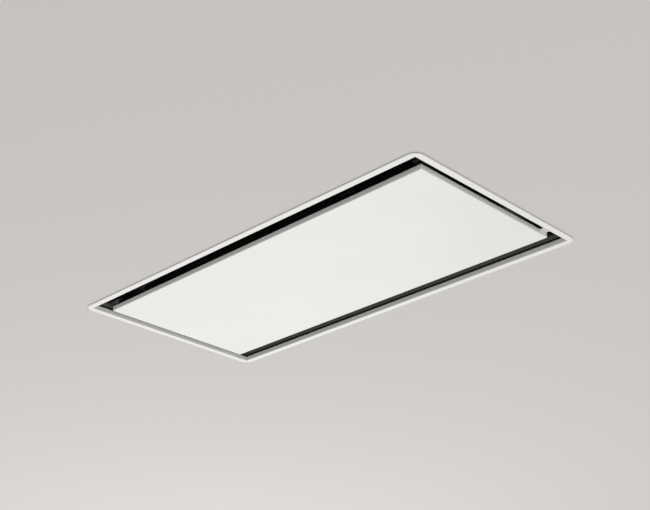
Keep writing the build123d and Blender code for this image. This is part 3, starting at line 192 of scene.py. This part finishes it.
# %% Galvanised steel
galvanised, at = finish("galvanised_steel", "hot-dip galvanised steel", "#B4B7B9", 0.42, 1.0)
CRYSTAL, FRAY = 9, 4 * MM
ragged = add_node(galvanised, "TexNoise", {"Vector": at, "Scale": per_mm(CRYSTAL), "Detail": 2.0})
pull = {0: ragged.outputs["Color"], 1: (0.5, 0.5, 0.5)}
shift = add_node(galvanised, "VectorMath", pull, operation="SUBTRACT")
bent = {0: shift.outputs["Vector"], 1: (FRAY, FRAY, FRAY), 2: at}
edge = add_node(galvanised, "VectorMath", bent, operation="MULTIPLY_ADD")
crystals = {"Vector": edge.outputs["Vector"], "Scale": per_mm(CRYSTAL)}
spangle = add_node(galvanised, "TexVoronoi", crystals)
facet = add_node(galvanised, "SeparateColor", {"Color": spangle.outputs["Color"]})
wear_pattern(galvanised, facet.outputs["Red"], tones=("#ADB1B3", "#BEC1C2"),
             roughness=(0.36, 0.48), ends=(0.0, 1.0))

# %% [markdown]
# ## Bright zinc plate
# Screws, rivets, pins and the small springs are zinc plated in a bath. The layer is thin and
# even, with a cold bluish shine and fine marks from the tumbling drum, drawn 2 mm long here.

# %% Bright zinc plate
zinc_plate, at = finish("zinc_plated_steel", "bright zinc plate", "#BFC4C9", 0.3, 1.0)
tumbled = add_node(zinc_plate, "TexNoise", {"Vector": at, "Scale": per_mm(2), "Detail": 3.0})
marks = tumbled.outputs["Fac"]
wear_pattern(zinc_plate, marks, tones=("#A9AFB6", "#CDD0D3"), roughness=(0.22, 0.4), relief=0.01)

# %% [markdown]
# ## Filter aluminium
# The grease filters are layers of mill-finish aluminium, rolled thin. Rolling leaves fine lines
# along the sheet: a noise that is stretched along X gives them. Real ones are 0.2 mm apart, and
# they are drawn 1.5 mm apart so that they still catch the light.

# %% Filter aluminium
filter_metal, at = finish("filter_aluminium", "mill-finish aluminium", "#C9CACB", 0.34, 1.0)
along = add_node(filter_metal, "Mapping", {"Vector": at, "Scale": (0.05, 1.0, 1.0)})
rolled = {"Vector": along.outputs["Vector"], "Scale": per_mm(1.5), "Detail": 2.0}
lines = add_node(filter_metal, "TexNoise", rolled).outputs["Fac"]
wear_pattern(filter_metal, lines, tones=("#B2B4B6", "#D3D4D5"), roughness=(0.28, 0.42), relief=0.01)

# %% [markdown]
# ## Cast aluminium
# The motor's end shields are pressure die-cast and shot-blasted, which leaves a dull, grainy
# skin. Grains of 0.5 mm are drawn 1.5 mm wide.

# %% Cast aluminium
cast_metal, at = finish("cast_aluminium", "shot-blasted cast aluminium", "#9A9C9E", 0.55, 1.0)
grains = add_node(cast_metal, "TexNoise", {"Vector": at, "Scale": per_mm(1.5), "Detail": 3.0})
wear_pattern(cast_metal, grains.outputs["Fac"], tones=("#8A8C8E", "#A8AAAC"), relief=0.05)

# %% [markdown]
# ## Motor laminations
# A stator is a stack of 0.5 mm electrical steel sheets under a clear varnish. Seen from the side
# the stack shows as fine bands across the fan's axis, which runs along Y. They are drawn so that
# they repeat every 2 mm. A wave texture turns through 20 radians in one unit, so it has its own
# way from millimetres to a scale.

# %% Motor laminations
def wave_per_mm(size):
    """The scale at which a wave texture repeats after this many millimetres."""
    return per_mm(size) * 2 * math.pi / 20


laminations, at = finish("motor_laminations", "varnished electrical steel", "#5C5E61", 0.4, 0.8)
stack = {"Vector": at, "Scale": wave_per_mm(2), "Distortion": 0.3}
bands = add_node(laminations, "TexWave", stack, bands_direction="Y").outputs["Fac"]
wear_pattern(laminations, bands, tones=("#45474A", "#707276"), roughness=(0.35, 0.5), relief=0.05)

# %% [markdown]
# ## Ferrite
# The magnets of the catches are sintered ferrite: a ceramic, almost black, dull and fine-grained.

# %% Ferrite
ferrite, at = finish("ferrite", "sintered ferrite", "#2C2C2F", 0.65)
sinter = add_node(ferrite, "TexNoise", {"Vector": at, "Scale": per_mm(1.2), "Detail": 4.0})
wear_pattern(ferrite, sinter.outputs["Fac"], tones=("#242427", "#36363A"), relief=0.03)

# %% [markdown]
# ## Moulded plastics
# The latches, the scroll and the outlet adaptor are black glass-filled polyamide. The fan wheel,
# the damper flaps and the control box are grey polypropylene, and the motor's capacitor and the
# terminal block are white ABS. A moulding tool is spark-eroded, so its parts come out with an
# even fine grain of about 0.3 mm, drawn 1.2 mm wide. One function serves the three, because only
# their tones and gloss differ.

# %% Moulded plastics
def moulded(slot, name, dark, light, gloss):
    """A spark-eroded plastic in two close tones."""
    plastic, at = finish(slot, name, light, gloss)
    grain = add_node(plastic, "TexNoise", {"Vector": at, "Scale": per_mm(1.2), "Detail": 2.0})
    wear_pattern(plastic, grain.outputs["Fac"], roughness=(gloss - 0.06, gloss + 0.06), relief=0.02)
    flow = add_node(plastic, "TexNoise", {"Vector": at, "Scale": per_mm(45), "Detail": 1.0})
    wear_pattern(plastic, flow.outputs["Fac"], tones=(dark, light))


moulded("black_plastic", "black glass-filled polyamide", "#171718", "#1F1F21", 0.5)
moulded("grey_plastic", "grey polypropylene", "#7D8083", "#888B8E", 0.45)
moulded("white_plastic", "white ABS", "#DEDDD8", "#E6E5E1", 0.4)

# %% [markdown]
# ## Circuit board
# The board is glass-fibre epoxy under green solder mask. Copper tracks run below the mask as
# slightly lighter lines on a 2.5 mm grid, which brick cells draw well.

# %% Circuit board
laminate, at = finish("circuit_laminate", "green solder mask on epoxy", "#1E5A38", 0.35)
grid = {"Vector": at, "Scale": per_mm(10), "Mortar Size": 0.03, "Brick Width": 0.9,
        "Row Height": 0.25}
tracks = add_node(laminate, "TexBrick", grid).outputs["Fac"]
wear_pattern(laminate, tracks, tones=("#1B5233", "#2F7A4C"), relief=0.03)

# %% [markdown]
# ## Lead sheath and seals
# The motor's lead has a grey PVC sheath that shows a faint twist of the cores inside, one turn
# in 25 mm. Buffers, grommets and the foam strip above the lip are black rubber, the darkest thing
# in the slots. The foam's open pores are about 1 mm wide, and their centres are painted darker as
# painted shade in the pits.

# %% Lead sheath and seals
sheath, at = finish("lead_pvc", "grey PVC sheath", "#5E5F60", 0.38)
twist = {"Vector": at, "Scale": wave_per_mm(25)}
cores = add_node(sheath, "TexWave", twist, bands_direction="DIAGONAL").outputs["Fac"]
wear_pattern(sheath, cores, tones=("#58595A", "#646566"), relief=0.1)
rubber, at = finish("seal_rubber", "black cellular rubber", "#101011", 0.9)
# Painted shade: the centres of the pores are darker, as shade inside the pits.
pore_shade = add_node(rubber, "TexVoronoi", {"Vector": at, "Scale": per_mm(1.2)}).outputs["Distance"]
wear_pattern(rubber, pore_shade, tones=("#0A0A0A", "#18181A"), relief=0.15)

# %% [markdown]
# ## Giving the CAD nodes their finishes
# Each CAD node arrives with a plain material that is named after its slot in the parts record.
# That name says which finish it gets. The meshes themselves are left as they are.

# %% Dress the CAD nodes
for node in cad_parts.values():
    for holder in node.material_slots:
        holder.material = finishes[holder.material.name]
print("dressed:", len(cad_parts), "nodes with", len(finishes), "finishes")

# %% [markdown]
# ## Screws, nuts and rivets
# Sheet metal is held by hex washer-head screws and blind rivets. All are turned shapes, so one
# function spins a profile round an axis. A ring of the profile may be pulled into a hexagon or
# into the six lobes of a driver's socket. Copies of one head become one piece, as they are all
# fixed to the same body.

# %% Turned heads
def turned(profile, sides=24):
    """A closed body from rings of (radius, height, sixfold pull), in millimetres."""
    points = []
    for radius, height, pull in profile:
        for k in range(sides):
            turn = 2 * math.pi * k / sides
            reach = radius + pull * math.cos(6 * turn)
            points.append(Vector((reach * math.cos(turn), reach * math.sin(turn), height)))
    faces = [tuple(reversed(range(sides)))]
    for ring in range(len(profile) - 1):
        low = ring * sides
        for k in range(sides):
            after = (k + 1) % sides
            faces.append((low + k, low + after, low + sides + after, low + sides + k))
    top = len(points) - sides
    faces.append(tuple(range(top, len(points))))
    return points, faces


def add_piece(name, body, slot, points, faces):
    """A mesh piece in millimetres that rides on a CAD body and wears one of the finishes."""
    mesh = bpy.data.meshes.new(name)
    mesh.from_pydata([tuple(p * MM for p in point) for point in points], [], faces)
    mesh.materials.append(finishes[slot])
    piece = bpy.data.objects.new(name, mesh)
    bpy.context.scene.collection.objects.link(piece)
    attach(piece, body)
    return piece


def add_heads(name, body, slot, shape, spots):
    """One piece made of copies of a turned shape; a spot is a place and the way it points."""
    points, faces = [], []
    for place, way in spots:
        lean = Vector((0, 0, 1)).rotation_difference(Vector(way))
        start = len(points)
        points += [lean @ point + Vector(place) for point in shape[0]]
        faces += [tuple(start + corner for corner in face) for face in shape[1]]
    add_piece(name, body, slot, points, faces)
    print(name + ":", len(spots), "pieces")


HEX_SCREW = turned([(4.8, 0, 0), (4.8, 0.7, 0), (3.7, 1.0, 0.2), (3.7, 3.8, 0.2), (3.2, 4.3, 0),
                    (1.9, 4.3, 0), (1.6, 3.8, 0)])
NUT = turned([(5.5, 0, 0), (5.5, 1.0, 0), (3.9, 1.0, 0.25), (3.9, 4.0, 0.25), (3.4, 4.4, 0),
              (2.1, 4.4, 0), (2.1, 0, 0)])
# a rivet's dome ends in the dent that the pulled-off mandrel leaves
RIVET = turned([(3.2, 0, 0), (3.1, 0.5, 0), (2.3, 1.0, 0), (1.3, 1.1, 0), (1.1, 0.5, 0)])
SOCKET_SCREW = turned([(3.4, 0, 0), (3.4, 0.8, 0), (2.6, 1.9, 0), (1.5, 2.2, 0.2), (1.4, 1.0, 0.2)])

# %% [markdown]
# ## Where the casing is held together
# The fan box stands on the casing with four screws through its flange, its lid is screwed on
# through the skirt, the collar is riveted round, and each hanging bracket has two screws. The
# end plates are riveted to the wrap along their top flange.

# %% Fasteners of the casing and the fan box
ZINC = "zinc_plated_steel"
SIDES = (-1, 1)
UP, DOWN = (0, 0, 1), (0, 0, -1)
EAST, WEST, NORTH, SOUTH = (1, 0, 0), (-1, 0, 0), (0, 1, 0), (0, -1, 0)
FLANGE_X, FLANGE_Y, FLANGE_TOP = 187.5, 120, 113
SKIRT, SKIRT_MIDDLE = 181.3, 293
COLLAR, COLLAR_AXIS, COLLAR_RIVETS_R = 181.2, 204.5, 79.8
HANGER_X, HANGER_Y, HANGER_TOP = 413, 200, 114.5
END_FLANGE_X = 481.5
BUFFER_XS, BUFFER_YS, BUFFER_TOP = (-80, 40), (-55, 55), 128

flange_spots = [((sx * FLANGE_X, sy * FLANGE_Y, FLANGE_TOP), UP) for sx in SIDES for sy in SIDES]
add_heads("flange_screws", "hood", ZINC, HEX_SCREW, flange_spots)

lid_spots = []
for side in (-100, 100):
    lid_spots += [((SKIRT, side, SKIRT_MIDDLE), EAST), ((-SKIRT, side, SKIRT_MIDDLE), WEST)]
    lid_spots += [((side, SKIRT, SKIRT_MIDDLE), NORTH), ((side, -SKIRT, SKIRT_MIDDLE), SOUTH)]
add_heads("lid_screws", "hood", ZINC, HEX_SCREW, lid_spots)

collar_spots = []
for turn in (math.radians(22.5 + 45 * k) for k in range(8)):
    y, z = COLLAR_RIVETS_R * math.cos(turn), COLLAR_AXIS + COLLAR_RIVETS_R * math.sin(turn)
    collar_spots.append(((COLLAR, y, z), EAST))
add_heads("collar_rivets", "hood", ZINC, RIVET, collar_spots)

hanger_spots = [((sx * HANGER_X, sy * HANGER_Y + dy, HANGER_TOP), UP)
                for sx in SIDES for sy in SIDES for dy in (-8, 8)]
add_heads("hanger_screws", "hood", ZINC, HEX_SCREW, hanger_spots)

end_spots = [((sx * END_FLANGE_X, y, FLANGE_TOP), UP)
             for sx in SIDES for y in range(-200, 201, 80)]
add_heads("end_rivets", "hood", ZINC, RIVET, end_spots)

nut_spots = [((x, y, BUFFER_TOP), UP) for x in BUFFER_XS for y in BUFFER_YS]
add_heads("fan_nuts", "hood", ZINC, NUT, nut_spots)

# %% [markdown]
# ## Fasteners of the chamber and the panel
# Inside the chamber the hinge brackets and catch brackets are fixed to the wall, and the ledge
# and the latch keepers to the deck. On the panel's hidden back each hinge arm is held by two
# rivets.

# %% Fasteners of the chamber and the panel
WALL, LEDGE, ARM_TOP = 485, 69, 10.7      # the faces that these heads lie on
FILTER_X = 225                            # the middle of a grease filter
HINGE_YS, HINGE_Z = (177.5, 188.5), 29
CATCH_YS, CATCH_Z = (-184, -150), 50
REAR_LEDGE_Y, KEEPER_Y, KEEPER_RIVETS = 142, -146, (-12, 12)
ARM_XS, ARM_Y = (446, 458), 183

bracket_spots = [((side * WALL, y, HINGE_Z), (-side, 0, 0)) for side in SIDES for y in HINGE_YS]
add_heads("hinge_bracket_rivets", "hood", ZINC, RIVET, bracket_spots)

catch_spots = [((side * WALL, y, CATCH_Z), (-side, 0, 0)) for side in SIDES for y in CATCH_YS]
add_heads("catch_bracket_rivets", "hood", "grey_powder_coat", RIVET, catch_spots)

deck_spots = [((x, REAR_LEDGE_Y, LEDGE), DOWN) for x in range(-400, 401, 100)]
deck_spots += [((side * FILTER_X + dx, KEEPER_Y, LEDGE), DOWN)
               for side in SIDES for dx in KEEPER_RIVETS]
add_heads("deck_rivets", "hood", ZINC, RIVET, deck_spots)

arm_spots = [((side * x, ARM_Y, ARM_TOP), UP) for side in SIDES for x in ARM_XS]
add_heads("hinge_arm_rivets", "panel", ZINC, RIVET, arm_spots)

# %% [markdown]
# ## Control box
# Four thread-forming screws hold the plastic lid. They have a flat head with a six-lobe socket,
# so the profile ends in a lobed ring that goes back down into the head.

# %% Control box screws
CONTROL_X, CONTROL_TOP = -310, 152.4      # the middle of the box's lid
CORNER_X, CORNER_Y = 76, 51               # from there to its screws
lid_corners = [((CONTROL_X + sx * CORNER_X, sy * CORNER_Y, CONTROL_TOP), UP)
               for sx in SIDES for sy in SIDES]
add_heads("control_lid_screws", "hood", ZINC, SOCKET_SCREW, lid_corners)

# %% [markdown]
# ## Expanded mesh on the grease filters
# Below its pleats each filter has a layer of expanded aluminium: a sheet that was slit and pulled
# open into diamonds, 16 mm by 8 mm, and then coated black like the frame. Every row is a zigzag
# strip, and a row's peaks meet the valleys of the next. So each row is a flat zigzag ribbon that
# runs from edge to edge of the frame's window, and is cut off where it meets the latch housing. A
# Solidify modifier gives all of them the sheet's 0.4 mm thickness.

# %% Expanded mesh
WINDOW_X, WINDOW_Y, MESH_Z = 203.0, 118.0, 61.5    # half the window's sides, the mesh's height
LATCH_X, LATCH_Y = 31.0, -97.0                     # half the housing's width, its inner edge


def cut_at_latch(start, end):
    """The strand from start to end, less what lies behind the latch housing, or nothing."""
    (x0, y0), (x1, y1) = start, end
    if y0 > LATCH_Y or min(abs(x0), abs(x1)) >= LATCH_X:
        return [start, end]
    if max(abs(x0), abs(x1)) <= LATCH_X:
        return []
    edge = math.copysign(LATCH_X, x0 + x1)
    meet = (edge, y0 + (y1 - y0) * (edge - x0) / (x1 - x0))
    return [start, meet] if abs(x0) > LATCH_X else [meet, end]


def expanded_mesh(name, centre):
    """Rows of zigzag ribbons that fill the window of one filter frame."""
    columns, rows, strand = 51, 59, 1.1
    step_x, step_y = 2 * WINDOW_X / columns, 2 * WINDOW_Y / rows
    points, faces = [], []
    for row in range(rows):
        middle = (row + 0.5) * step_y - WINDOW_Y
        zigzag = [(i * step_x - WINDOW_X, middle + (-1) ** (i + row) * step_y / 2)
                  for i in range(columns + 1)]
        for bend, next_bend in zip(zigzag, zigzag[1:]):
            ends = cut_at_latch(bend, next_bend)
            if ends:
                start = len(points)
                points += [(centre + x, y + way * strand / 2, MESH_Z)
                           for x, y in ends for way in SIDES]
                faces.append((start, start + 2, start + 3, start + 1))
    layer = add_piece(name, "hood", "black_powder_coat", points, faces)
    thick = layer.modifiers.new("sheet thickness", "SOLIDIFY")
    thick.thickness = 0.4 * MM
    print(name + ":", len(faces), "strands")


expanded_mesh("filter_mesh_left", -FILTER_X)
expanded_mesh("filter_mesh_right", FILTER_X)

# %% [markdown]
# ## Springs of the filter latches
# Behind each latch slider lies a leaf of spring steel, 0.4 mm thick and folded to and fro. When a
# finger pushes the slider back by 6 mm, the folds close up from 14 mm to 8 mm. This leaf stands
# for the CAD one, which is hidden.

# %% Latch springs
def latch_spring(side, centre):
    """A leaf folded to and fro between the slider and the end of its channel."""
    front, rear, low, high = -113.9, -100.0, 63.4, 67.0
    folds, steps, leaf, swing, travel = 6, 12, 0.4, 7.6, 6.0
    points, faces = [], []
    for i in range(folds * steps + 1):
        turn = math.pi * i / steps
        along = Vector((-swing * math.sin(turn) * math.pi * folds, rear - front, 0)).normalized()
        across = Vector((along.y, -along.x, 0)) * leaf / 2
        place = front + (rear - front) * i / (folds * steps)
        middle = Vector((centre + swing * math.cos(turn), place, 0))
        points += [(*(middle + way * across).xy, z)
                   for way, z in ((1, low), (-1, low), (-1, high), (1, high))]
    for section in range(folds * steps):
        for k in range(4):
            low_corner, next_corner = 4 * section + k, 4 * section + (k + 1) % 4
            faces.append((low_corner, next_corner, next_corner + 4, low_corner + 4))
    last = len(points) - 4
    faces += [(3, 2, 1, 0), (last, last + 1, last + 2, last + 3)]
    spring = add_piece("spring_leaf_" + side, "hood", ZINC, points, faces)
    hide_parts("latch_spring_" + side)
    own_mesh(spring)


latch_spring("left", -FILTER_X)
latch_spring("right", FILTER_X)

# %% [markdown]
# ## Ceiling
# The stage is a plain pale ceiling of 12.5 mm board with the cut-out that the casing passes
# through. It lies a millimetre above the rim's back, as a rough plaster skim does, and so the rim
# gets the thin shadow line that one sees round such trims.

# %% Ceiling
plaster = bpy.data.materials.new("pale plaster skim")
plaster.use_nodes = True
plain = plaster.node_tree.nodes["Principled BSDF"].inputs
plain["Base Color"].default_value = linear("#D3D1CE")
plain["Roughness"].default_value = 0.9
at = add_node(plaster, "TexCoord").outputs["Object"]
skim = add_node(plaster, "TexNoise", {"Vector": at, "Scale": per_mm(14), "Detail": 4.0})
wear_pattern(plaster, skim.outputs["Fac"], relief=0.5)

reach, gap_x, gap_y, under, over = 6000, 488.8, 238.8, 1.0, 13.5
corners = ((-1, -1), (1, -1), (1, 1), (-1, 1))
sizes = ((reach, reach, under), (gap_x, gap_y, under), (gap_x, gap_y, over), (reach, reach, over))
rings = [[(sx * x, sy * y, z) for sx, sy in corners] for x, y, z in sizes]
board_points = [point for ring in rings for point in ring]
board_faces = []
for ring in range(3):
    for k in range(4):
        low, after = 4 * ring, (k + 1) % 4
        board_faces.append((low + k, low + 4 + k, low + 4 + after, low + after))
board = bpy.data.meshes.new("ceiling")
board.from_pydata([tuple(p * MM for p in point) for point in board_points], [], board_faces)
board.materials.append(plaster)
ceiling = bpy.data.objects.new("ceiling", board)
bpy.context.scene.collection.objects.link(ceiling)
print("ceiling:", 2 * reach, "mm wide, cut-out", 2 * gap_x, "by", 2 * gap_y, "mm")

# %% [markdown]
# ## Light
# The world is a soft, pale, even studio light, at which a colour shows about as it is written. A
# large soft lamp on the far left below the ceiling makes that side a little brighter. One as far
# away as a window on the right lights the lip that faces it, and a wide one above lets the
# galvanised top show its spangle.

# %% Light
world = bpy.data.worlds.new("studio")
bpy.context.scene.world = world
world.use_nodes = True
background = world.node_tree.nodes["Background"]
background.inputs["Color"].default_value = linear("#F4F3F1")
background.inputs["Strength"].default_value = 0.765


def soft_lamp(name, place, aim, size, watts):
    """A square area lamp at a place, facing a point, both in metres."""
    lamp = bpy.data.lights.new(name, "AREA")
    lamp.size, lamp.energy = size, watts
    holder = bpy.data.objects.new(name, lamp)
    holder.location = place
    holder.rotation_mode = "QUATERNION"
    holder.rotation_quaternion = (Vector(aim) - Vector(place)).to_track_quat("-Z", "Y")
    bpy.context.scene.collection.objects.link(holder)
    print(name + ":", watts, "W at", place)


soft_lamp("room_lamp", (-2.2, 1.6, -2.4), (0, 0, 0), 2.5, 37)
soft_lamp("window_lamp", (5.0, 0.0, -2.6), (0, 0, 0), 2.5, 36)
soft_lamp("loft_lamp", (1.8, -2.3, 3.3), (0, 0, 0.1), 3.5, 70)

# %% [markdown]
# ## Camera
# The camera stands below the hood, to the right of its front edge, and looks up at it. Its place
# and its 67.5 mm lens were worked out from the straight edges of the rim, whose real size is
# known.

# %% Camera
azimuth, elevation = math.radians(44.604), math.radians(-25.83)
back = Vector((math.sin(azimuth) * math.cos(elevation), -math.cos(azimuth) * math.cos(elevation),
               math.sin(elevation)))
lens = bpy.data.cameras.new("camera")
lens.sensor_width, lens.lens = 36, 67.48
camera = bpy.data.objects.new("camera", lens)
camera.location = (1.6934, -1.6898, -1.108)
camera.rotation_mode = "QUATERNION"
camera.rotation_quaternion = (-back).to_track_quat("-Z", "Y")
bpy.context.scene.collection.objects.link(camera)
bpy.context.scene.camera = camera
bpy.context.scene.view_settings.view_transform = "Standard"
print("camera:", round(camera.location.length, 2), "m from the hood's centre")
